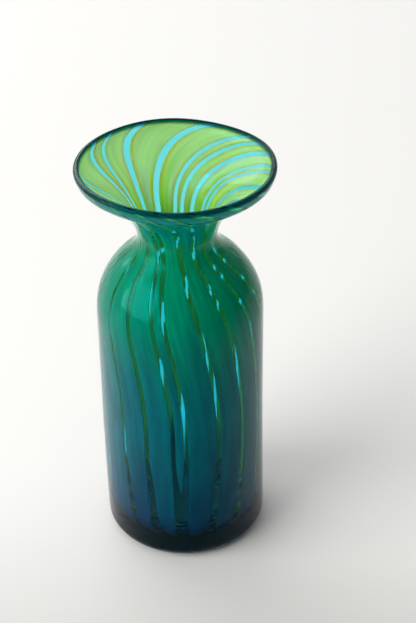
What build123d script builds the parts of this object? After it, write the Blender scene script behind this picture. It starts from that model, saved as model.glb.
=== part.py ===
"""Hand blown cased art glass vase: a bottle body with a narrow neck and a wide flared mouth.

The glass is built up the way a gaffer gathers it.  An inner gather forms the bore, straps of
silver-bearing glass lie side by side on it with narrow gaps between them, and a heavy outer
casing covers everything, fills the gaps and makes the thick foot.  Units are millimetres, +Z is
up and the origin is the centre of the foot, on the surface that the vase stands on.
"""

from build123d import *
from math import cos, degrees, radians, sin
import os

# Overall form of the outside.
FOOT_RADIUS = 32.2
HEEL_RADIUS = 6.5
BODY_RADIUS = FOOT_RADIUS + HEEL_RADIUS
SHOULDER_HEIGHT = 122.0
# Radius and height up the shoulder, in to the neck and out along the flare.
FLARE_CURVE = [
    (BODY_RADIUS, SHOULDER_HEIGHT),
    (37.5, 135.0),
    (33.1, 145.0),
    (26.8, 152.8),
    (20.7, 158.7),
    (18.2, 164.2),
    (18.9, 169.8),
    (21.8, 176.6),
    (27.6, 184.2),
    (35.3, 190.1),
    (40.8, 193.9),
    (43.6, 196.6),
    (44.8, 199.5),
]
LIP_SLOPE = Vector(0.3, 1.0).normalized()
LIP_HEIGHT = 201.0
# A shallow bowl ground into the middle of the foot, where the pontil was broken off.
PONTIL_RADIUS = 12.0
PONTIL_DEPTH = 1.0

# Layers through the wall, from the bore outwards.
GATHER_THICKNESS = 1.1
STRAP_THICKNESS = 0.7
CASING_THICKNESS = 1.4
WALL = GATHER_THICKNESS + STRAP_THICKNESS + CASING_THICKNESS
LIP_RADIUS = WALL / 2
FLOOR_HEIGHT = 7.0
BORE_CORNER = 20.0
BORE_RADIUS = BODY_RADIUS - WALL
CORNER_CENTRE = (BORE_RADIUS - BORE_CORNER, FLOOR_HEIGHT + BORE_CORNER)
# The straps stop this far from the middle of the floor.
POLE_RADIUS = 18.0

# One row per gap between two straps: its bearing on the body in degrees, how far the flare drags
# it round by the lip, its width, its width down at the foot, and its sideways lean at the foot.
GAPS = [
    (62, 57, 1.5, 2.2, 4),
    (70, 56, 1.5, 2.4, -2),
    (89, 57, 2.0, 2.6, 3),
    (106, 59, 1.8, 2.4, 4),
    (117, 57, 1.6, 2.2, -3),
    (145, 56, 2.6, 2.6, 2),
    (171, 38, 2.2, 2.8, -2),
    (191, 36, 1.2, 2.4, 3),
    (199, 29, 1.6, 2.8, -1),
    (222, 20, 1.4, 3.4, 8),
    (242, 26, 2.0, 5.6, 6),
    (262, 35, 1.9, 4.0, 3),
    (271, 39, 1.9, 4.0, -4),
    (296, 48, 2.1, 4.4, -9),
    (317, 52, 1.8, 3.8, -8),
    (337, 55, 1.7, 3.2, -4),
    (356, 56, 2.0, 2.8, 3),
    (377, 57, 1.8, 2.4, -4),
    (400, 57, 2.2, 2.8, 5),
]
# The two gaps that run together above the foot, so the strap between them ends in a point there.
FORKED_STRAP = 11
FORK_HEIGHT = 40.0
NECK_TWIST = 25.0
TWIST_START = 80.0
TWIST_END = 168.0
TWIST_POWER = 1.5
FLARE_POWER = 2.26
LEAN_HEIGHT = 60.0
# The drag of the flare also opens the gaps towards the lip, by this share of their width.
LIP_OPENING = 1.3

# The sectors that divide the strap layer run from inside the bore to past the rim, and past both
# ends of the vase.
SECTOR_START = 8.0
SECTOR_REACH = 60.0
SECTOR_HEIGHTS = [2.0, 25.0, 50.0, 78.0, 96.0, 114.0, 130.0, 146.0, 160.0]
SECTOR_HEIGHTS += [170.0, 178.0, 184.0, 189.0, 193.0, 197.0, 201.0, 204.5]
LIP_OVERRUN = 2.2
GROOVE_OVERCUT = 0.5


def share(height, low, high):
    """How far a height has come from low to high, kept between 0 and 1."""
    return min(1.0, max(0.0, (height - low) / (high - low)))


def wall_curve(depth):
    """The flare curve moved into the wall by a depth, square to the glass at each point."""
    moved = []
    last = len(FLARE_CURVE) - 1
    for index, (radius, height) in enumerate(FLARE_CURVE):
        if index == 0:
            along = Vector(0, 1)
        elif index == last:
            along = LIP_SLOPE
        else:
            before = Vector(*FLARE_CURVE[index - 1])
            along = (Vector(*FLARE_CURVE[index + 1]) - before).normalized()
        moved.append(Vector(radius - depth * along.Y, height + depth * along.X))
    return moved


def flare_edge(depth):
    """The curved edge of one layer from the shoulder to the lip."""
    return Spline(*wall_curve(depth), tangents=(Vector(0, 1), LIP_SLOPE))


def layer_edge(outward, overrun):
    """One layer's edge from the axis along the floor, up the wall and out past the lip."""
    corner = BORE_CORNER + outward
    start = CORNER_CENTRE[0]
    floor = Line((0, FLOOR_HEIGHT - outward), (start, FLOOR_HEIGHT - outward))
    turn = CenterArc(CORNER_CENTRE, corner, -90, 90)
    wall = Line(turn @ 1, (BORE_RADIUS + outward, SHOULDER_HEIGHT))
    flare = flare_edge(WALL - outward)
    end = flare @ 1
    tip = end + LIP_SLOPE * overrun
    Line(end, tip)
    return floor @ 0, tip


def vessel_section():
    """The whole glass section, from the ground foot to the rounded lip and back down the bore."""
    outer_end, bore_end = wall_curve(0)[-1], wall_curve(WALL)[-1]
    lip_crown = (outer_end + bore_end) / 2 + LIP_SLOPE * LIP_RADIUS
    with BuildSketch(Plane.XZ) as section:
        with BuildLine():
            Line((0, FLOOR_HEIGHT), (0, PONTIL_DEPTH))
            Spline(
                (0, PONTIL_DEPTH),
                (PONTIL_RADIUS, 0),
                tangents=((1, 0), (PONTIL_RADIUS, -2 * PONTIL_DEPTH)),
            )
            Line((PONTIL_RADIUS, 0), (FOOT_RADIUS, 0))
            CenterArc((FOOT_RADIUS, HEEL_RADIUS), HEEL_RADIUS, -90, 90)
            Line((BODY_RADIUS, HEEL_RADIUS), (BODY_RADIUS, SHOULDER_HEIGHT))
            flare_edge(0)
            ThreePointArc(outer_end, lip_crown, bore_end)
            flare_edge(WALL)
            Line((BORE_RADIUS, SHOULDER_HEIGHT), (BORE_RADIUS, CORNER_CENTRE[1]))
            CenterArc(CORNER_CENTRE, BORE_CORNER, -90, 90)
            Line((CORNER_CENTRE[0], FLOOR_HEIGHT), (0, FLOOR_HEIGHT))
        make_face()
    return section


def band_section(inside, outside, overrun=LIP_OVERRUN):
    """The section between two layer edges, named by their distance outwards from the bore."""
    with BuildSketch(Plane.XZ) as section:
        with BuildLine():
            inner_start, inner_tip = layer_edge(inside, overrun)
            outer_start, outer_tip = layer_edge(outside, overrun)
            Line(inner_start, outer_start)
            Line(inner_tip, outer_tip)
        make_face()
    return section


def strap_section(inside, outside, overrun=LIP_OVERRUN):
    """A band with its middle part on the floor cut away, where the straps stop."""
    with BuildSketch(Plane.XZ) as section:
        add(band_section(inside, outside, overrun).sketch_local)
        with Locations((0, FLOOR_HEIGHT)):
            Rectangle(2 * POLE_RADIUS, 2 * FLOOR_HEIGHT, mode=Mode.SUBTRACT)
    return section


def gap_edges(gap, height):
    """The two bearings, in degrees, of the sides of one gap at a height."""
    bearing, lip_drag, width, foot_width, lean = gap
    low = 1 - share(height, 0, LEAN_HEIGHT)
    flared = share(height, TWIST_END, LIP_HEIGHT) ** FLARE_POWER
    twist = NECK_TWIST * share(height, TWIST_START, TWIST_END) ** TWIST_POWER
    middle = bearing + lean * low - twist - lip_drag * flared
    opened = (width + (foot_width - width) * low) * (1 + LIP_OPENING * flared)
    half = degrees(opened / 2 / layer_radius(height))
    return middle - half, middle + half


def layer_radius(height):
    """The radius of the strap layer at a height, read off the straight runs between its points."""
    points = [(BODY_RADIUS, 0.0)] + FLARE_CURVE
    for (low_radius, low), (high_radius, high) in zip(points, points[1:]):
        if height <= high:
            return low_radius + (high_radius - low_radius) * share(height, low, high) - WALL / 2
    return points[-1][0]


def polar(radius, bearing):
    """A point in plan from its radius and its bearing in degrees."""
    return radius * cos(radians(bearing)), radius * sin(radians(bearing))


def sector(index, lowest):
    """Slices through the twisting wedge of space that one strap fills between two gaps."""
    following = GAPS[(index + 1) % len(GAPS)]
    full_turn = 360 if index + 1 == len(GAPS) else 0
    slices = []
    for height in [lowest] + [z for z in SECTOR_HEIGHTS if z > lowest]:
        left = gap_edges(GAPS[index], height)[1]
        right = gap_edges(following, height)[0] + full_turn
        with BuildSketch(Plane.XY.offset(height)) as slice_at_height:
            with BuildLine():
                corners = [polar(SECTOR_START, left), polar(SECTOR_REACH, left)]
                corners += [polar(SECTOR_REACH, right), polar(SECTOR_START, right)]
                Polyline(*corners, close=True)
            make_face()
        slices.append(slice_at_height.sketch)
    return slices


os.makedirs("parts", exist_ok=True)
vessel = vessel_section()
strap_inside = GATHER_THICKNESS
strap_outside = GATHER_THICKNESS + STRAP_THICKNESS

with BuildPart() as inner_gather:
    with BuildSketch(Plane.XZ):
        add(band_section(0, GATHER_THICKNESS).sketch_local)
        add(vessel.sketch_local, mode=Mode.INTERSECT)
    revolve(axis=Axis.Z)
inner_gather.part.label = "inner_gather"
export_step(inner_gather.part, "parts/inner_gather.step")

strap_profile = strap_section(strap_inside, strap_outside).sketch_local
groove_profile = strap_section(strap_inside - GROOVE_OVERCUT, strap_outside, 2 * LIP_OVERRUN).sketch_local
grooves = []
for index in range(len(GAPS)):
    lowest = FORK_HEIGHT if index == FORKED_STRAP else SECTOR_HEIGHTS[0]
    slices = sector(index, lowest)
    with BuildPart() as silver_strap:
        loft(slices, ruled=True)
        with BuildSketch(Plane.XZ):
            add(strap_profile)
            add(vessel.sketch_local, mode=Mode.INTERSECT)
        revolve(axis=Axis.Z, mode=Mode.INTERSECT)
    name = f"silver_strap_{index + 1:02d}"
    silver_strap.part.label = name
    export_step(silver_strap.part, f"parts/{name}.step")
    with BuildPart() as groove:
        loft(slices, ruled=True)
        with BuildSketch(Plane.XZ):
            add(groove_profile)
        revolve(axis=Axis.Z, mode=Mode.INTERSECT)
    grooves.append(groove.part)
    print(name, round(silver_strap.part.volume, 1), len(silver_strap.solids()), len(groove.solids()))

with BuildPart() as outer_casing:
    with BuildSketch(Plane.XZ):
        add(vessel.sketch_local)
        add(band_section(0, GATHER_THICKNESS).sketch_local, mode=Mode.SUBTRACT)
    revolve(axis=Axis.Z)
    add(grooves, mode=Mode.SUBTRACT)
outer_casing.part.label = "outer_casing"
export_step(outer_casing.part, "parts/outer_casing.step")
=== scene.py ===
"""Looks for a hand blown cased glass vase: straps of silver glass between a clear gather and a
coloured casing, on a plain pale floor in soft studio light.  Sizes are in metres in the part's
own frame, with the foot on z = 0.
"""

import logging
from dataclasses import dataclass, field
from enum import Enum
from math import cos, pi, radians, sin, sqrt

import bmesh
import bpy
import numpy as np
from mathutils import Matrix, Vector


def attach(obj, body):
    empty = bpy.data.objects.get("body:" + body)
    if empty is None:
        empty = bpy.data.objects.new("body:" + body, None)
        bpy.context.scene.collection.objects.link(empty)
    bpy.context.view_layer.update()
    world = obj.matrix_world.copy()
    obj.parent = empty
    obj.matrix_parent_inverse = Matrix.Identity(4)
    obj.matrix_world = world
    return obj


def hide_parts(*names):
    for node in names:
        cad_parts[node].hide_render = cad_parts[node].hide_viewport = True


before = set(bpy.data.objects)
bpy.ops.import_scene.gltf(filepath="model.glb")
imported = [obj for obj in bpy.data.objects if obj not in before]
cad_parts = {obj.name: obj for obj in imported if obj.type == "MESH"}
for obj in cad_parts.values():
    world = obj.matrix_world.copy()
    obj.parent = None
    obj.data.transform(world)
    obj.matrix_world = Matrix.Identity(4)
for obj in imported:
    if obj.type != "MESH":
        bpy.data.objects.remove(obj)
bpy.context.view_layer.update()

LOG = logging.getLogger("vase")
MM = 0.001
BODY = "root"
# Heights between which the body's colour turns into the neck's, and the neck's into the lip's.
NECK_BLEND = (0.085, 0.160)
LIP_BLEND = (0.164, 0.186)
# Heights between which the outside of the neck gives way to the open mouth.
MOUTH_BLEND = (0.160, 0.180)


class Layer(Enum):
    """Which face of a strap a vertex lies on."""

    INSIDE = 0.0
    OUTSIDE = 1.0


def share(height: np.ndarray, low: float, high: float) -> np.ndarray:
    """How far each height has come from low to high, kept between 0 and 1.

    Args:
        height: The heights.
        low: Where the share is 0.
        high: Where the share is 1.

    Returns:
        One share per height.
    """
    return np.clip((height - low) / (high - low), 0.0, 1.0)


def smooth(value: np.ndarray) -> np.ndarray:
    """Eases a 0 to 1 share in and out."""
    return value * value * (3.0 - 2.0 * value)


@dataclass(frozen=True)
class WallForm:
    """The section of the glass: its outside, its layers and its rounded lip, in metres."""

    foot_radius: float = 0.0322
    heel_radius: float = 0.0065
    shoulder_height: float = 0.122
    flare: tuple[tuple[float, float], ...] = (
        (0.0387, 0.1220),
        (0.0375, 0.1350),
        (0.0331, 0.1450),
        (0.0268, 0.1528),
        (0.0207, 0.1587),
        (0.0182, 0.1642),
        (0.0189, 0.1698),
        (0.0218, 0.1766),
        (0.0276, 0.1842),
        (0.0357, 0.1898),
        (0.0413, 0.1935),
        (0.0440, 0.1963),
        (0.0450, 0.1994),
    )
    lip_run: float = 0.3
    pontil_radius: float = 0.012
    pontil_depth: float = 0.001
    gather: float = 0.0011
    strap: float = 0.0007
    casing: float = 0.0014
    floor_height: float = 0.007
    bore_corner: float = 0.020
    pole_radius: float = 0.018
    floor_samples: int = 10
    corner_samples: int = 22
    bore_samples: int = 34
    tip_samples: int = 5
    foot_samples: int = 12
    heel_samples: int = 16
    side_samples: int = 46
    flare_samples: int = 96
    least_reach: float = 0.00001

    @property
    def body_radius(self) -> float:
        """Radius of the straight body."""
        return self.foot_radius + self.heel_radius

    @property
    def wall(self) -> float:
        """Thickness of the whole wall."""
        return self.gather + self.strap + self.casing

    @property
    def lip_slope(self) -> np.ndarray:
        """Unit direction of the wall at the lip, as radius and height."""
        slope = np.array([self.lip_run, 1.0])
        return slope / np.linalg.norm(slope)

    @property
    def corner_centre(self) -> np.ndarray:
        """Centre of the round corner at the bottom of the bore."""
        across = self.body_radius - self.wall - self.bore_corner
        return np.array([across, self.floor_height + self.bore_corner])

    def moved_points(self, depth: float) -> np.ndarray:
        """The flare's points moved into the wall, square to the glass.

        Args:
            depth: Distance in from the outside.

        Returns:
            One radius and height per point.
        """
        points = np.array(self.flare)
        along = np.zeros_like(points)
        along[1:-1] = points[2:] - points[:-2]
        along[0], along[-1] = (0.0, 1.0), self.lip_slope
        along /= np.linalg.norm(along, axis=1)[:, None]
        return points + depth * np.stack([-along[:, 1], along[:, 0]], axis=1)

    def flare_line(self, depth: float, count: int) -> np.ndarray:
        """A smooth line through the moved points, from the shoulder to the lip.

        Args:
            depth: Distance in from the outside.
            count: Number of samples.

        Returns:
            The samples as radius and height.
        """
        points = self.moved_points(depth)
        chord = np.linalg.norm(np.diff(points, axis=0), axis=1)
        knots = np.concatenate([[0.0], np.cumsum(chord)])
        size = len(points)
        matrix, right = np.zeros((size, size)), np.zeros((size, 2))
        matrix[0, 0] = matrix[-1, -1] = 1.0
        right[0], right[-1] = (0.0, 1.0), self.lip_slope
        for i in range(1, size - 1):
            before, after = chord[i - 1], chord[i]
            matrix[i, i - 1], matrix[i, i + 1] = after, before
            matrix[i, i] = 2.0 * (before + after)
            steps = after / before * (points[i] - points[i - 1])
            steps += before / after * (points[i + 1] - points[i])
            right[i] = 3.0 * steps
        slopes = np.linalg.solve(matrix, right)
        where = np.linspace(0.0, knots[-1], count)
        span = np.clip(np.searchsorted(knots, where, side="right") - 1, 0, size - 2)
        run = chord[span][:, None]
        t = ((where - knots[span]) / chord[span])[:, None]
        return (
            (2 * t**3 - 3 * t**2 + 1) * points[span]
            + (t**3 - 2 * t**2 + t) * run * slopes[span]
            + (3 * t**2 - 2 * t**3) * points[span + 1]
            + (t**3 - t**2) * run * slopes[span + 1]
        )

    def lip_reach(self, depth: float) -> float:
        """How far a layer runs on past the flare's end before it meets the round lip."""
        radius = self.wall / 2.0
        return radius * sqrt(max(0.0, 1.0 - (1.0 - depth / radius) ** 2))

    def bowl(self, depth: float, start_radius: float) -> np.ndarray:
        """A layer's line along the floor and round the corner at the bottom of the bore.

        Args:
            depth: Distance in from the outside of the wall.
            start_radius: Radius where the line starts.

        Returns:
            The samples as radius and height.
        """
        outward = self.wall - depth
        radius = self.bore_corner + outward
        centre = self.corner_centre
        low = self.floor_height - outward
        first = np.arcsin(max(0.0, start_radius - centre[0]) / radius)
        angle = np.linspace(first, pi / 2, self.corner_samples)
        arc = centre + radius * np.stack([np.sin(angle), -np.cos(angle)], axis=1)
        if start_radius >= centre[0]:
            return arc
        run = np.linspace(start_radius, centre[0], self.floor_samples, endpoint=False)
        return np.concatenate([np.stack([run, np.full(len(run), low)], axis=1), arc])

    def layer_line(self, depth: float, start_radius: float, trim: float) -> np.ndarray:
        """One layer's line from the floor of the bore up to the lip.

        Args:
            depth: Distance in from the outside of the wall.
            start_radius: Radius where the line starts on the floor.
            trim: How far short of the lip's surface it stops.

        Returns:
            The samples as radius and height.
        """
        bowl = self.bowl(depth, start_radius)
        side = np.linspace(self.corner_centre[1], self.shoulder_height, self.bore_samples)[1:-1]
        wall = np.stack([np.full(len(side), self.body_radius - depth), side], axis=1)
        flare = self.flare_line(depth, self.flare_samples)
        reach = self.lip_reach(depth) - trim
        steps = np.linspace(0.0, max(reach, self.least_reach), self.tip_samples)[1:, None]
        tip = flare[-1] + self.lip_slope * steps
        return np.concatenate([bowl, wall, flare, tip])

    def outside_line(self) -> np.ndarray:
        """The outside from the middle of the foot to the start of the round lip."""
        bowl = np.linspace(0.0, self.pontil_radius, self.floor_samples)
        dish = self.pontil_depth * (1.0 - (bowl / self.pontil_radius) ** 2)
        foot = np.linspace(self.pontil_radius, self.foot_radius, self.foot_samples)[1:]
        angle = np.linspace(-pi / 2, 0.0, self.heel_samples)[1:]
        heel = np.stack(
            [
                self.foot_radius + self.heel_radius * np.cos(angle),
                self.heel_radius * (1.0 + np.sin(angle)),
            ],
            axis=1,
        )
        side = np.linspace(self.heel_radius, self.shoulder_height, self.side_samples)[1:-1]
        wall = np.stack([np.full(len(side), self.body_radius), side], axis=1)
        return np.concatenate(
            [
                np.stack([bowl, dish], axis=1),
                np.stack([foot, np.zeros(len(foot))], axis=1),
                heel,
                wall,
                self.flare_line(0.0, self.flare_samples),
            ]
        )

    def lip_arc(self, low: float, high: float, count: int) -> np.ndarray:
        """Part of the round lip, between two depths into the wall.

        Args:
            low: Depth where the arc starts.
            high: Depth where it ends.
            count: Number of samples.

        Returns:
            The samples as radius and height.
        """
        radius = self.wall / 2.0
        first, last = np.arccos(1.0 - low / radius), np.arccos(1.0 - high / radius)
        angle = np.linspace(first, last, count)
        end = self.moved_points(0.0)[-1]
        inward = np.array([-self.lip_slope[1], self.lip_slope[0]])
        across = radius * (1.0 - np.cos(angle))[:, None] * inward
        return end + across + radius * np.sin(angle)[:, None] * self.lip_slope


@dataclass(frozen=True)
class StrapLayout:
    """Where the gaps between the straps run.  Angles are degrees and widths are metres.

    Each gap has its bearing on the body, how far the flare drags it round by the lip, its width,
    its width at the foot and its sideways lean there.
    """

    gaps: tuple[tuple[float, float, float, float, float], ...] = (
        (62, 57, 1.5, 2.2, 4),
        (70, 56, 1.5, 2.4, -2),
        (89, 57, 2.0, 2.6, 3),
        (106, 59, 1.8, 2.4, 4),
        (117, 57, 1.6, 2.2, -3),
        (145, 56, 2.6, 2.6, 2),
        (171, 38, 2.2, 2.8, -2),
        (191, 36, 1.2, 2.4, 3),
        (199, 29, 1.6, 2.8, -1),
        (222, 20, 1.4, 3.4, 8),
        (242, 26, 2.0, 5.6, 6),
        (262, 35, 1.9, 4.0, 3),
        (271, 39, 1.9, 4.0, -4),
        (296, 48, 2.1, 4.4, -9),
        (317, 52, 1.8, 3.8, -8),
        (337, 55, 1.7, 3.2, -4),
        (356, 56, 2.0, 2.8, 3),
        (377, 57, 1.8, 2.4, -4),
        (400, 57, 2.2, 2.8, 5),
    )
    forked_strap: int = 11
    fork_height: float = 0.040
    fork_taper: float = 0.012
    neck_twist: float = 25.0
    twist_start: float = 0.080
    twist_end: float = 0.168
    twist_power: float = 1.5
    lip_height: float = 0.201
    flare_power: float = 2.26
    lean_height: float = 0.060
    lip_opening: float = 1.3

    def flared(self, height: np.ndarray) -> np.ndarray:
        """How much of the flare's drag has been taken up at each height."""
        return share(height, self.twist_end, self.lip_height) ** self.flare_power

    def middles(self, height: np.ndarray) -> np.ndarray:
        """Bearings of the middle of every gap.

        Args:
            height: Heights on the strap layer.

        Returns:
            Degrees, one row per gap and one column per height.
        """
        table = np.array(self.gaps)[:, :, None]
        low = 1.0 - share(height, 0.0, self.lean_height)
        turned = share(height, self.twist_start, self.twist_end) ** self.twist_power
        twist = self.neck_twist * turned
        return table[:, 0] + table[:, 4] * low - twist - table[:, 1] * self.flared(height)

    def halves(self, height: np.ndarray, radius: np.ndarray) -> np.ndarray:
        """Half the width of every gap.

        Args:
            height: Heights on the strap layer.
            radius: Radius of the layer at each height.

        Returns:
            Degrees, one row per gap and one column per height.
        """
        table = np.array(self.gaps)[:, :, None]
        low = 1.0 - share(height, 0.0, self.lean_height)
        width = table[:, 2] + (table[:, 3] - table[:, 2]) * low
        opened = MM * width * (1.0 + self.lip_opening * self.flared(height))
        return np.degrees(opened / 2.0 / radius)

    def flow(self, bearing: np.ndarray, height: float) -> np.ndarray:
        """Carries bearings at a height back down the swirl to where they sit on the body.

        Args:
            bearing: Bearings in degrees.
            height: The height that they are at.

        Returns:
            Bearings on the body, in turns.
        """
        middle = self.middles(np.array([height]))[:, 0]
        first = np.array(self.gaps)[:, 0]
        turns = np.arange(-2, 4) * 360.0
        known = (middle[None, :] + turns[:, None]).ravel()
        given = (first[None, :] + turns[:, None]).ravel()
        return np.interp(bearing, known, given) / 360.0


@dataclass(frozen=True)
class HandWork:
    """The small unevenness of glass shaped by hand, the same for every layer.

    Each wave has its strength, its lobes round the vase, its start in radians and its lean with
    height.  Each curl of the lip has its strength, its lobes and its start.
    """

    out_of_round: float = 0.00016
    cant_x: float = -0.0079
    cant_y: float = -0.044
    lip_wave: float = 0.00028
    cant_start: float = 0.166
    cant_end: float = 0.1985
    still_height: float = 0.02
    still_radius: float = 0.012
    waves: tuple[tuple[float, int, float, float], ...] = (
        (1.0, 2, 0.8, 9.0),
        (0.6, 3, 0.0, -31.0),
        (0.45, 5, 2.1, 47.0),
    )
    curls: tuple[tuple[float, int, float], ...] = ((1.0, 3, 1.9), (0.5, 5, 0.0))

    def shape(self, points: np.ndarray) -> np.ndarray:
        """Moves points on the true round form to where the blown glass has them.

        Args:
            points: One row of x, y and z per point.

        Returns:
            The moved points.
        """
        x, y, z = points.T
        radius, bearing = np.hypot(x, y), np.arctan2(y, x)
        lifted = smooth(share(z, 0.0, self.still_height)) * share(radius, 0.0, self.still_radius)
        wave = sum(strength * np.sin(lobes * bearing + start + lean * z)
                   for strength, lobes, start, lean in self.waves)
        grown = radius + self.out_of_round * lifted * wave
        tilt = smooth(share(z, self.cant_start, self.cant_end))
        rise = radius * (self.cant_x * np.cos(bearing) + self.cant_y * np.sin(bearing))
        curl = sum(strength * np.sin(lobes * bearing + start)
                   for strength, lobes, start in self.curls)
        rise = rise + self.lip_wave * curl * tilt
        return np.stack([grown * np.cos(bearing), grown * np.sin(bearing), z + tilt * rise], 1)


@dataclass
class GlassMesh:
    """Collects the vertices, faces and flow coordinates of one closed piece of glass."""

    vertices: list[np.ndarray] = field(default_factory=list)
    faces: list[tuple[int, ...]] = field(default_factory=list)
    flow: list[tuple[float, float]] = field(default_factory=list)
    edge: list[tuple[float, float]] = field(default_factory=list)

    def build(self, name: str, work: HandWork) -> bpy.types.Object:
        """Makes the Blender object, shaped by hand work and smooth shaded.

        Args:
            name: The piece's name.
            work: The unevenness to give it.

        Returns:
            The new object, linked to the scene.
        """
        mesh = bpy.data.meshes.new(name)
        points = work.shape(np.concatenate(self.vertices))
        mesh.from_pydata(points.tolist(), [], self.faces)
        layer = mesh.uv_layers.new(name="flow")
        layer.data.foreach_set("uv", np.array(self.flow, dtype=np.float32).ravel())
        side = mesh.uv_layers.new(name="edge")
        side.data.foreach_set("uv", np.array(self.edge, dtype=np.float32).ravel())
        mesh.validate()
        mesh.update()
        mesh.polygons.foreach_set("use_smooth", [True] * len(mesh.polygons))
        piece = bpy.data.objects.new(name, mesh)
        bpy.context.scene.collection.objects.link(piece)
        return piece


def spun(profile: np.ndarray, columns: int, layout: StrapLayout, crown: int) -> GlassMesh:
    """Spins a closed section round the axis.  Its first and last points lie on the axis.

    Args:
        profile: Radius and height from the bottom centre, over the outside, to the inside centre.
        columns: Number of steps round.
        layout: Gives the swirl that the flow coordinates follow.
        crown: Which point of the section is the crown of the lip.

    Returns:
        The closed shell.
    """
    made = GlassMesh()
    rings = profile[1:-1]
    angle = np.arange(columns) * 2 * pi / columns
    body = np.stack(
        [
            np.outer(rings[:, 0], np.cos(angle)),
            np.outer(rings[:, 0], np.sin(angle)),
            np.repeat(rings[:, 1:2], columns, axis=1),
        ],
        axis=2,
    ).reshape(-1, 3)
    made.vertices.append(np.array([[0.0, 0.0, profile[0, 1]]]))
    made.vertices.append(body)
    made.vertices.append(np.array([[0.0, 0.0, profile[-1, 1]]]))
    run = np.concatenate([[0.0], np.cumsum(np.linalg.norm(np.diff(profile, axis=0), axis=1))])
    bearings = np.arange(columns + 1) * 360.0 / columns
    turns = [layout.flow(bearings, z) for z in rings[:, 1]]
    last = 1 + len(body)
    past = (run - run[crown]) / MM
    for j in range(columns):
        k = (j + 1) % columns
        made.faces.append((0, 1 + k, 1 + j))
        made.flow += [(turns[0][j], run[0]), (turns[0][j + 1], run[1]), (turns[0][j], run[1])]
        made.edge += [(past[0], 0.0), (past[1], 0.0), (past[1], 0.0)]
        for i in range(len(rings) - 1):
            low, high = 1 + i * columns, 1 + (i + 1) * columns
            made.faces.append((low + j, low + k, high + k, high + j))
            made.flow += [
                (turns[i][j], run[i + 1]),
                (turns[i][j + 1], run[i + 1]),
                (turns[i + 1][j + 1], run[i + 2]),
                (turns[i + 1][j], run[i + 2]),
            ]
            made.edge += [(past[i + 1], 0.0)] * 2 + [(past[i + 2], 0.0)] * 2
        top = 1 + (len(rings) - 1) * columns
        made.faces.append((top + j, top + k, last))
        end = turns[-1]
        made.flow += [(end[j], run[-2]), (end[j + 1], run[-2]), (end[j], run[-1])]
        made.edge += [(past[-2], 0.0), (past[-2], 0.0), (past[-1], 0.0)]
    return made


Socket = bpy.types.NodeSocket


class Wiring:
    """Short calls for placing and joining shader nodes in one tree."""

    def __init__(self, tree: bpy.types.NodeTree) -> None:
        """Starts on a tree and empties it."""
        self.tree = tree
        tree.nodes.clear()

    def put(self, kind: str, inputs: dict | None = None, **settings: object) -> bpy.types.Node:
        """Places a node.

        Args:
            kind: The node's type name without its ShaderNode prefix.
            inputs: Values or sockets for its inputs, by name or index.
            settings: Attributes to set on the node first.

        Returns:
            The node.
        """
        node = self.tree.nodes.new(kind if kind.startswith("Node") else "ShaderNode" + kind)
        for name, value in settings.items():
            setattr(node, name, value)
        for name, value in (inputs or {}).items():
            if isinstance(value, Socket):
                self.tree.links.new(value, node.inputs[name])
            else:
                node.inputs[name].default_value = value
        return node

    def math(self, operation: str, *values: float | Socket) -> Socket:
        """One math step on numbers or sockets."""
        node = self.put("Math", dict(enumerate(values)), operation=operation)
        return node.outputs[0]

    def span(self, value: Socket, low: float | Socket, high: float | Socket,
             to_low: float = 0.0, to_high: float = 1.0) -> Socket:
        """Eases a value from one range to another.

        Args:
            value: The value to map.
            low: Where the range starts.
            high: Where it ends.
            to_low: Result at the start.
            to_high: Result at the end.

        Returns:
            The mapped value.
        """
        inputs = {"Value": value, "From Min": low, "From Max": high}
        inputs |= {"To Min": to_low, "To Max": to_high}
        node = self.put("MapRange", inputs, interpolation_type="SMOOTHSTEP")
        return node.outputs["Result"]

    def blend(self, factor: Socket | float, first: object, second: object,
              way: str = "MIX") -> Socket:
        """Mixes two colours.

        Args:
            factor: How much of the second.
            first: Colour or socket.
            second: Colour or socket.
            way: Blending mode.

        Returns:
            The mixed colour.
        """
        node = self.put("Mix", {0: factor, 6: first, 7: second}, data_type="RGBA", blend_type=way)
        return node.outputs[2]


def new_group(name: str, takes: dict[str, object], gives: dict[str, str]) -> tuple:
    """Starts a node group with named sockets.

    Args:
        name: The group's name.
        takes: Input names with their starting values.
        gives: Output names with their socket types.

    Returns:
        The group, its wiring, its input node and its output node.
    """
    group = bpy.data.node_groups.new(name, "ShaderNodeTree")
    for label, value in takes.items():
        kind = "NodeSocketColor" if isinstance(value, tuple) else "NodeSocketFloat"
        socket = group.interface.new_socket(label, in_out="INPUT", socket_type=kind)
        socket.default_value = value
    for label, kind in gives.items():
        group.interface.new_socket(label, in_out="OUTPUT", socket_type=kind)
    wiring = Wiring(group)
    return group, wiring, wiring.put("NodeGroupInput"), wiring.put("NodeGroupOutput")


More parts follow.
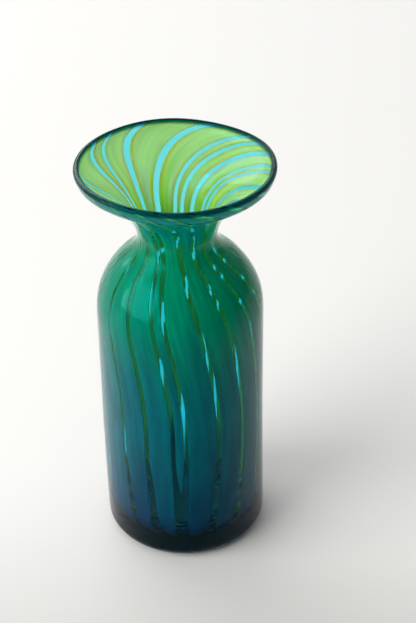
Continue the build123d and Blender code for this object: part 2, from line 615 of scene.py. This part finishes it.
@dataclass
class SharedEffects:
    """The node groups that several finishes use."""

    def __post_init__(self) -> None:
        """Builds the groups once."""
        self.swirl = self.make_swirl()
        self.tint = self.make_tint()

    def make_swirl(self) -> bpy.types.NodeTree:
        """Streaks pulled out along the swirl of the glass.

        Returns:
            The group, which gives broad and fine streaks from 0 to 1.
        """
        takes = {"Across": 26.0, "Along": 9.0, "Seed": 0.0}
        gives = {"Broad": "NodeSocketFloat", "Fine": "NodeSocketFloat"}
        group, w, start, end = new_group("pulled_streaks", takes, gives)
        flow = w.put("UVMap", uv_map="flow")
        parts = w.put("SeparateXYZ", {0: flow.outputs[0]})
        turn = w.math("MULTIPLY", parts.outputs[0], 2 * pi)
        ring = w.math("MULTIPLY", start.outputs["Across"], 1 / (2 * pi))
        x = w.math("MULTIPLY", w.math("COSINE", turn), ring)
        y = w.math("MULTIPLY", w.math("SINE", turn), ring)
        z = w.math("MULTIPLY", parts.outputs[1], start.outputs["Along"])
        place = w.put("CombineXYZ", {0: x, 1: y, 2: z})
        for label, scale, detail in (("Broad", 1.0, 3.0), ("Fine", 3.7, 4.0)):
            noise = w.put(
                "TexNoise",
                {"Vector": place.outputs[0], "W": start.outputs["Seed"], "Scale": scale,
                 "Detail": detail, "Roughness": 0.6},
                noise_dimensions="4D",
            )
            w.tree.links.new(noise.outputs[0], end.inputs[label])
        return group

    def make_tint(self) -> bpy.types.NodeTree:
        """A colour that changes with height on the vase.

        Returns:
            The group, which takes a colour for the foot, middle, neck and lip.
        """
        plain = (0.5, 0.5, 0.5, 1.0)
        takes = {"Foot": plain, "Middle": plain, "Neck": plain, "Lip": plain, "Waver": 0.0,
                 "Rise": 0.015, "Settle": 0.085}
        group, w, start, end = new_group("height_tint", takes, {"Color": "NodeSocketColor"})
        place = w.put("NewGeometry")
        parts = w.put("SeparateXYZ", {0: place.outputs["Position"]})
        height = w.math("ADD", parts.outputs[2], start.outputs["Waver"])
        settled = w.span(height, start.outputs["Rise"], start.outputs["Settle"])
        low = w.blend(settled, start.outputs["Foot"], start.outputs["Middle"])
        neck = w.blend(w.span(height, *NECK_BLEND), low, start.outputs["Neck"])
        top = w.blend(w.span(height, *LIP_BLEND), neck, start.outputs["Lip"])
        w.tree.links.new(top, end.inputs["Color"])
        return group


def new_material(name: str) -> tuple[bpy.types.Material, Wiring, bpy.types.Node, bpy.types.Node]:
    """Starts a material with a Principled shader.

    Args:
        name: The material's name.

    Returns:
        The material, its wiring, its Principled node and its output node.
    """
    material = bpy.data.materials.new(name)
    material.use_nodes = True
    wiring = Wiring(material.node_tree)
    shader = wiring.put("BsdfPrincipled")
    end = wiring.put("OutputMaterial", {"Surface": shader.outputs[0]})
    return material, wiring, shader, end


@dataclass(frozen=True)
class ClearGlass:
    """Coloured or clear glass that is seen through, with the faint ripple of hand work."""

    name: str
    foot: tuple[float, float, float, float]
    middle: tuple[float, float, float, float]
    neck: tuple[float, float, float, float]
    lip: tuple[float, float, float, float]
    absorbed: tuple[float, float, float, float]
    density: float
    roughness: float = 0.02
    index: float = 1.33
    ripple: float = 0.00012
    sheen: tuple[float, float, float, float] = (0.0, 0.50, 0.56, 1.0)
    rim: tuple[float, float, float, float] = (0.0, 0.07, 0.13, 1.0)
    rim_outside: tuple[float, float] = (-3.4, -1.6)
    rim_inside: tuple[float, float] = (0.6, 1.3)
    waver: float = 0.05

    def make(self, effects: SharedEffects) -> bpy.types.Material:
        """Builds the material.

        Args:
            effects: The shared node groups.

        Returns:
            The material.
        """
        material, w, shader, end = new_material(self.name)
        swirl = w.put("Group", node_tree=effects.swirl)
        swirl.inputs["Seed"].default_value = 3.0
        body = self.foot
        if self.foot != self.lip:
            centred = w.math("SUBTRACT", swirl.outputs["Broad"], 0.5)
            waver = w.math("MULTIPLY", centred, self.waver)
            group = w.tree.nodes.new("ShaderNodeGroup")
            group.node_tree = effects.tint
            for label, colour in (("Foot", self.foot), ("Middle", self.middle),
                                  ("Neck", self.neck), ("Lip", self.lip)):
                group.inputs[label].default_value = colour
            w.tree.links.new(waver, group.inputs["Waver"])
            body = group.outputs["Color"]
        edge = w.put("SeparateXYZ", {0: w.put("UVMap", uv_map="edge").outputs[0]})
        ring = w.math("MULTIPLY", w.span(edge.outputs[0], *self.rim_outside),
                      w.span(edge.outputs[0], *self.rim_inside, 1.0, 0.0))
        colour = w.blend(ring, body, self.rim)
        w.tree.links.new(colour, shader.inputs["Base Color"])
        shader.inputs["Transmission Weight"].default_value = 1.0
        shader.inputs["Roughness"].default_value = self.roughness
        shader.inputs["IOR"].default_value = self.index
        shader.inputs["Specular Tint"].default_value = self.sheen
        if self.density > 0.0:
            volume = w.put("VolumeAbsorption", {"Color": self.absorbed, "Density": self.density})
            w.tree.links.new(volume.outputs[0], end.inputs["Volume"])
        bump = w.put(
            "Bump", {"Height": swirl.outputs["Broad"], "Distance": self.ripple, "Strength": 1.0}
        )
        w.tree.links.new(bump.outputs[0], shader.inputs["Normal"])
        return material


@dataclass(frozen=True)
class SilverGlass:
    """Semi-opaque strap glass: yellow green from inside, teal through the casing.

    The glow and the shading from left to right are painted.
    """

    name: str = "silver_glass"
    inside_foot: tuple[float, float, float, float] = (0.02, 0.10, 0.12, 1.0)
    inside_middle: tuple[float, float, float, float] = (0.50, 0.90, 0.16, 1.0)
    inside_neck: tuple[float, float, float, float] = (0.46, 0.95, 0.08, 1.0)
    inside_lip: tuple[float, float, float, float] = (0.62, 0.99, 0.30, 1.0)
    outside_foot: tuple[float, float, float, float] = (0.0, 0.074, 0.175, 1.0)
    outside_middle: tuple[float, float, float, float] = (0.0, 0.22, 0.28, 1.0)
    outside_neck: tuple[float, float, float, float] = (0.0, 0.48, 0.25, 1.0)
    outside_lip: tuple[float, float, float, float] = (0.0, 0.26, 0.25, 1.0)
    ochre: tuple[float, float, float, float] = (0.66, 0.48, 0.0, 1.0)
    # Colour of the painted reflection: pale patches laid over the inner face in the mouth.
    painted_sheen: tuple[float, float, float, float] = (0.52, 0.80, 0.80, 1.0)
    roughness: float = 0.5
    index: float = 1.06
    see_through: float = 0.30
    # Strength of the painted glow, light the straps give off though no lamp lights them, and its
    # share on the body below the mouth.
    painted_glow_strength: float = 0.36
    painted_glow_on_body: float = 0.30
    waver: float = 0.08
    inside_rise: float = 0.008
    inside_settle: float = 0.034
    stain_edge: tuple[float, float, float, float] = (0.9, 2.8, 1.0, 0.12)
    stain_streak: tuple[float, float] = (0.40, 0.58)
    stain_strength: float = 0.8
    painted_sheen_streak: tuple[float, float] = (0.50, 0.66)
    painted_sheen_strength: float = 0.6
    grain: tuple[float, float, float, float] = (0.34, 0.64, 0.76, 1.08)
    painted_shade: tuple[float, float, float, float] = (-0.040, 0.045, 1.0, 0.76)

    def make(self, effects: SharedEffects) -> bpy.types.Material:
        """Builds the material.

        Args:
            effects: The shared node groups.

        Returns:
            The material.
        """
        material, w, shader, _ = new_material(self.name)
        swirl = w.put("Group", node_tree=effects.swirl)
        edge = w.put("SeparateXYZ", {0: w.put("UVMap", uv_map="edge").outputs[0]})
        centred = w.math("SUBTRACT", swirl.outputs["Broad"], 0.5)
        waver = w.math("MULTIPLY", centred, self.waver)
        sides = []
        for prefix in ("inside", "outside"):
            group = w.tree.nodes.new("ShaderNodeGroup")
            group.node_tree = effects.tint
            for label in ("Foot", "Middle", "Neck", "Lip"):
                group.inputs[label].default_value = getattr(self, f"{prefix}_{label.lower()}")
            w.tree.links.new(waver, group.inputs["Waver"])
            if prefix == "inside":
                group.inputs["Rise"].default_value = self.inside_rise
                group.inputs["Settle"].default_value = self.inside_settle
            sides.append(group.outputs["Color"])
        colour = w.blend(edge.outputs[1], sides[0], sides[1])
        place = w.put("SeparateXYZ", {0: w.put("NewGeometry").outputs["Position"]})
        mouth = w.span(place.outputs[2], *MOUTH_BLEND)
        near_edge = w.span(edge.outputs[0], *self.stain_edge)
        streak = w.span(swirl.outputs["Fine"], *self.stain_streak)
        inner_side = w.math("MULTIPLY", mouth, w.math("SUBTRACT", 1.0, edge.outputs[1]))
        stain = w.math("MULTIPLY", w.math("MULTIPLY", near_edge, streak), inner_side)
        colour = w.blend(w.math("MULTIPLY", stain, self.stain_strength), colour, self.ochre)
        # Painted reflection: pale patches along the broad streaks on the inner face in the mouth.
        painted_sheen_patch = w.math("MULTIPLY", w.span(swirl.outputs["Broad"], *self.painted_sheen_streak), inner_side)
        colour = w.blend(w.math("MULTIPLY", painted_sheen_patch, self.painted_sheen_strength), colour, self.painted_sheen)
        grain = w.span(swirl.outputs["Fine"], *self.grain)
        tone = w.math("MULTIPLY", grain, w.span(place.outputs[0], *self.painted_shade))
        colour = w.blend(1.0, colour, w.put("CombineColor", {0: tone, 1: tone, 2: tone}).outputs[0],
                         "MULTIPLY")
        w.tree.links.new(colour, shader.inputs["Base Color"])
        # Painted glow: the straps give off light in their own colour, full in the mouth and weaker
        # on the body.
        glow = w.span(place.outputs[2], *MOUTH_BLEND, self.painted_glow_on_body, 1.0)
        painted_glow_factor = w.put("CombineColor", {0: glow, 1: glow, 2: glow}).outputs[0]
        painted_glow_colour = w.blend(1.0, colour, painted_glow_factor, "MULTIPLY")
        w.tree.links.new(painted_glow_colour, shader.inputs["Emission Color"])
        shader.inputs["Emission Strength"].default_value = self.painted_glow_strength
        shader.inputs["Roughness"].default_value = self.roughness
        shader.inputs["IOR"].default_value = self.index
        shader.inputs["Transmission Weight"].default_value = self.see_through
        return material


@dataclass(frozen=True)
class FloorPaper:
    """Plain pale studio floor, with painted shade that makes it a little darker towards the front.
    """

    name: str = "floor_paper"
    colour: tuple[float, float, float, float] = (0.645, 0.638, 0.622, 1.0)
    painted_front_shade: tuple[float, float, float, float] = (-0.16, 0.04, 0.74, 1.0)

    def make(self) -> bpy.types.Material:
        """Builds the material."""
        material, w, shader, _ = new_material(self.name)
        noise = w.put("TexNoise", {"Scale": 9.0, "Detail": 3.0})
        tone = w.span(noise.outputs[0], 0.2, 0.8, 0.985, 1.0)
        place = w.put("SeparateXYZ", {0: w.put("NewGeometry").outputs["Position"]})
        # Painted shade: the floor gets darker towards the front.
        tone = w.math("MULTIPLY", tone, w.span(place.outputs[1], *self.painted_front_shade))
        shade = w.put("CombineColor", {0: tone, 1: tone, 2: tone}).outputs[0]
        w.tree.links.new(w.blend(1.0, self.colour, shade, "MULTIPLY"), shader.inputs["Base Color"])
        shader.inputs["Roughness"].default_value = 0.7
        shader.inputs["Specular IOR Level"].default_value = 0.15
        return material


@dataclass
class OuterCasing:
    """The coloured outer layer, with the thick foot and the outside of the lip."""

    form: WallForm
    layout: StrapLayout
    work: HandWork
    columns: int = 160

    def build(self, finish: bpy.types.Material) -> bpy.types.Object:
        """Makes the casing and dresses it.

        Args:
            finish: Its glass.

        Returns:
            The casing.
        """
        depth = self.form.wall - self.form.gather
        outside = self.form.outside_line()
        lip = self.form.lip_arc(0.0, depth, 18)[1:]
        inner = self.form.layer_line(depth, 0.0, 0.0)[::-1][1:]
        profile = np.concatenate([outside, lip, inner])
        shell = spun(profile, self.columns, self.layout, len(outside) + 12)
        piece = shell.build("outer_casing_glass", self.work)
        piece.data.materials.append(finish)
        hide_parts("outer_casing")
        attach(piece, BODY)
        return piece


@dataclass
class InnerGather:
    """The clear gather that lines the bore and makes the inside of the lip."""

    form: WallForm
    layout: StrapLayout
    work: HandWork
    columns: int = 160
    overlap: float = 0.00004

    def build(self, finish: bpy.types.Material) -> bpy.types.Object:
        """Makes the gather and dresses it.

        Args:
            finish: Its glass.

        Returns:
            The gather.
        """
        depth = self.form.wall - self.form.gather - self.overlap
        outside = self.form.layer_line(depth, 0.0, 0.0)
        lip = self.form.lip_arc(depth, self.form.wall, 14)[1:]
        bore = self.form.layer_line(self.form.wall, 0.0, 0.0)[::-1][5:]
        profile = np.concatenate([outside, lip, bore])
        shell = spun(profile, self.columns, self.layout, len(outside))
        piece = shell.build("inner_gather_glass", self.work)
        piece.data.materials.append(finish)
        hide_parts("inner_gather")
        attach(piece, BODY)
        return piece


@dataclass
class SilverStrap:
    """One strap of silver glass, a thin lens-edged ribbon inside the casing."""

    form: WallForm
    layout: StrapLayout
    work: HandWork
    index: int
    clearance: float = 0.00009
    lip_trim: float = 0.00022
    edge_round: float = 0.0009
    end_round: float = 0.0006
    fork_lead: float = 0.0005
    samples_across: int = 23
    weld: float = 0.000002

    def across(self) -> np.ndarray:
        """Positions across the strap, closer together near its edges."""
        even = np.linspace(0.0, 1.0, self.samples_across)
        return 0.5 - 0.5 * np.cos(pi * even) * (0.35 + 0.65 * np.abs(np.cos(pi * even)))

    def build(self, finish: bpy.types.Material) -> bpy.types.Object:
        """Makes the strap and dresses it.

        Args:
            finish: Its glass.

        Returns:
            The strap.
        """
        form, layout = self.form, self.layout
        inner_depth = form.casing + form.strap - self.clearance
        lines = {
            Layer.OUTSIDE: form.layer_line(form.casing, form.pole_radius, self.lip_trim),
            Layer.INSIDE: form.layer_line(inner_depth, form.pole_radius, self.lip_trim),
        }
        middle = (lines[Layer.OUTSIDE] + lines[Layer.INSIDE]) / 2.0
        keep = np.ones(len(middle), dtype=bool)
        forked = self.index == layout.forked_strap
        if forked:
            keep = middle[:, 1] >= layout.fork_height
        middle = middle[keep]
        half_run = (lines[Layer.OUTSIDE] - lines[Layer.INSIDE])[keep] / 2.0
        radius, height = middle.T
        middles, halves = layout.middles(height), layout.halves(height, radius)
        following = (self.index + 1) % len(layout.gaps)
        turn = 360.0 if following == 0 else 0.0
        left = middles[self.index] + halves[self.index]
        right = middles[following] - halves[following] + turn
        if forked:
            narrow = np.sqrt(share(height, layout.fork_height - self.fork_lead,
                                   layout.fork_height + layout.fork_taper))
            centre, half = (left + right) / 2.0, (right - left) / 2.0 * narrow
            left, right = centre - half, centre + half
        u = self.across()
        bearing = left[:, None] + (right - left)[:, None] * u
        width = np.radians(right - left) * radius
        from_edge = np.minimum(u, 1.0 - u)[None, :] * width[:, None]
        bulge = np.sqrt(1.0 - (1.0 - np.clip(from_edge / self.edge_round, 0.0, 1.0)) ** 2)
        run = np.concatenate([[0.0], np.cumsum(np.linalg.norm(np.diff(middle, axis=0), axis=1))])
        ends = np.minimum(run, run[-1] - run)
        closing = np.clip(ends / self.end_round, 0.0, 1.0)
        bulge = bulge * np.sqrt(1.0 - (1.0 - closing) ** 2)[:, None]
        rows, columns = len(middle), len(u)
        made = GlassMesh()
        turns = np.array([layout.flow(bearing[i], height[i]) for i in range(rows)])
        start_run = 0.0 if not forked else height[0]
        for layer, sign in ((Layer.OUTSIDE, 1.0), (Layer.INSIDE, -1.0)):
            r = radius[:, None] + sign * half_run[:, 0:1] * bulge
            z = height[:, None] + sign * half_run[:, 1:2] * bulge
            a = np.radians(bearing)
            made.vertices.append(np.stack([r * np.cos(a), r * np.sin(a), z], 2).reshape(-1, 3))
        size = rows * columns
        for i in range(rows - 1):
            for j in range(columns - 1):
                quad = ((i, j), (i, j + 1), (i + 1, j + 1), (i + 1, j))
                for layer, base in ((Layer.OUTSIDE, 0), (Layer.INSIDE, size)):
                    order = quad if layer is Layer.OUTSIDE else quad[::-1]
                    made.faces.append(tuple(base + a * columns + b for a, b in order))
                    made.flow += [(turns[a, b], start_run + run[a]) for a, b in order]
                    made.edge += [(from_edge[a, b] / MM, layer.value) for a, b in order]
        name = f"silver_strap_{self.index + 1:02d}"
        piece = made.build(name + "_glass", self.work)
        self.close(piece)
        piece.data.materials.append(finish)
        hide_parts(name)
        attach(piece, BODY)
        return piece

    def close(self, piece: bpy.types.Object) -> None:
        """Joins the inner and outer faces where they meet at the edges."""
        body = bmesh.new()
        body.from_mesh(piece.data)
        bmesh.ops.remove_doubles(body, verts=body.verts, dist=self.weld)
        body.to_mesh(piece.data)
        body.free()


@dataclass
class Studio:
    """The pale floor, the soft lights and the camera."""

    distance: float = 3.330
    rise: float = 2.997
    pitch: float = 35.649
    yaw: float = 1.134
    roll: float = -1.219
    lens: float = 100.6
    unit: float = 0.1985

    def floor(self) -> bpy.types.Object:
        """Makes the floor.

        Returns:
            The floor object.
        """
        mesh = bpy.data.meshes.new("studio_floor")
        steps = np.linspace(-4.0, 4.0, 9)
        points = [(x, y, -0.00002) for y in steps for x in steps]
        faces = [(j * 9 + i, j * 9 + i + 1, j * 9 + i + 10, j * 9 + i + 9)
                 for j in range(8) for i in range(8)]
        mesh.from_pydata(points, [], faces)
        piece = bpy.data.objects.new("studio_floor", mesh)
        bpy.context.scene.collection.objects.link(piece)
        piece.data.materials.append(FloorPaper().make())
        return piece

    def light(self, name: str, place: tuple, target: tuple, size: tuple, power: float,
              colour: tuple) -> None:
        """Adds one soft box.

        Args:
            name: The light's name.
            place: Where it stands.
            target: What it points at.
            size: Its width and height.
            power: Its power in watts.
            colour: Its colour.
        """
        data = bpy.data.lights.new(name, "AREA")
        data.shape = "RECTANGLE"
        data.size, data.size_y = size
        data.energy, data.color = power, colour
        lamp = bpy.data.objects.new(name, data)
        lamp.location = place
        aim = Vector(target) - Vector(place)
        lamp.rotation_euler = aim.to_track_quat("-Z", "Y").to_euler()
        bpy.context.scene.collection.objects.link(lamp)

    def lights(self) -> None:
        """Adds the lights and the pale surroundings."""
        self.light("window", place=(-2.0, -0.9, 1.2), target=(0.0, 0.0, 0.1), size=(2.2, 1.8),
                   power=86.0, colour=(1.0, 0.99, 0.97))
        self.light("back_fill", place=(-0.9, 2.1, 1.5), target=(0.0, 0.3, 0.0), size=(3.0, 1.6),
                   power=44.0, colour=(1.0, 1.0, 1.0))
        world = bpy.data.worlds.new("studio_air")
        bpy.context.scene.world = world
        world.use_nodes = True
        w = Wiring(world.node_tree)
        facing = w.put("TexCoord")
        parts = w.put("SeparateXYZ", {0: facing.outputs["Generated"]})
        leftward = w.math("MULTIPLY", parts.outputs[0], -0.6)
        backward = w.math("MULTIPLY", parts.outputs[1], 0.4)
        upward = w.math("MULTIPLY", parts.outputs[2], 0.6)
        aimed = w.math("ADD", w.math("ADD", leftward, backward), upward)
        bright = w.span(aimed, -0.7, 1.0, 0.08, 0.98)
        air = w.put("Background", {"Color": (0.98, 0.99, 1.0, 1.0), "Strength": bright})
        w.put("OutputWorld", {"Surface": air.outputs[0]})

    def camera(self) -> None:
        """Adds the camera, looking down at the vase from the front."""
        unit = self.unit
        p, y, r = radians(self.pitch), radians(self.yaw), radians(self.roll)
        ahead = Vector((sin(y) * cos(p), cos(y) * cos(p), -sin(p)))
        right = Vector((cos(y), -sin(y), 0.0))
        up = right.cross(ahead)
        across = cos(r) * right + sin(r) * up
        above = -sin(r) * right + cos(r) * up
        data = bpy.data.cameras.new("camera")
        data.lens, data.sensor_width, data.sensor_fit = self.lens, 36.0, "AUTO"
        data.clip_start, data.clip_end = 0.01, 50.0
        eye = bpy.data.objects.new("camera", data)
        turn = Matrix((across, above, -ahead)).transposed().to_4x4()
        eye.matrix_world = Matrix.Translation((0.0, -self.distance * unit, self.rise * unit)) @ turn
        bpy.context.scene.collection.objects.link(eye)
        bpy.context.scene.camera = eye

    def build(self) -> None:
        """Sets the whole studio up."""
        self.camera()
        self.floor()
        self.lights()
        scene = bpy.context.scene
        scene.view_settings.view_transform = "Standard"
        scene.cycles.max_bounces = 32
        scene.cycles.transmission_bounces = 32
        scene.cycles.diffuse_bounces = 10
        scene.cycles.transparent_max_bounces = 16


def main() -> None:
    """Builds the studio and every piece of the vase."""
    logging.basicConfig(level=logging.INFO, format="%(name)s: %(message)s")
    form, layout, work = WallForm(), StrapLayout(), HandWork()
    Studio().build()
    LOG.info("studio ready")
    effects = SharedEffects()
    clear = (0.96, 1.0, 0.99, 1.0)
    casing = ClearGlass(
        "casing_glass", foot=(0.86, 0.97, 1.0, 1.0), middle=(0.9, 0.99, 0.99, 1.0),
        neck=(0.92, 1.0, 0.93, 1.0), lip=(0.95, 1.0, 0.95, 1.0),
        absorbed=(0.0, 0.84, 0.90, 1.0), density=790.0,
    ).make(effects)
    gather = ClearGlass(
        "gather_glass", foot=clear, middle=clear, neck=clear, lip=clear,
        absorbed=clear, density=0.0, index=1.12,
    ).make(effects)
    silver = SilverGlass().make(effects)
    pieces = [OuterCasing(form, layout, work).build(casing)]
    pieces.append(InnerGather(form, layout, work).build(gather))
    for index in range(len(layout.gaps)):
        pieces.append(SilverStrap(form, layout, work, index).build(silver))
    for piece in pieces:
        LOG.info("%s: %d faces", piece.name, len(piece.data.polygons))


if __name__ == "__main__":
    main()
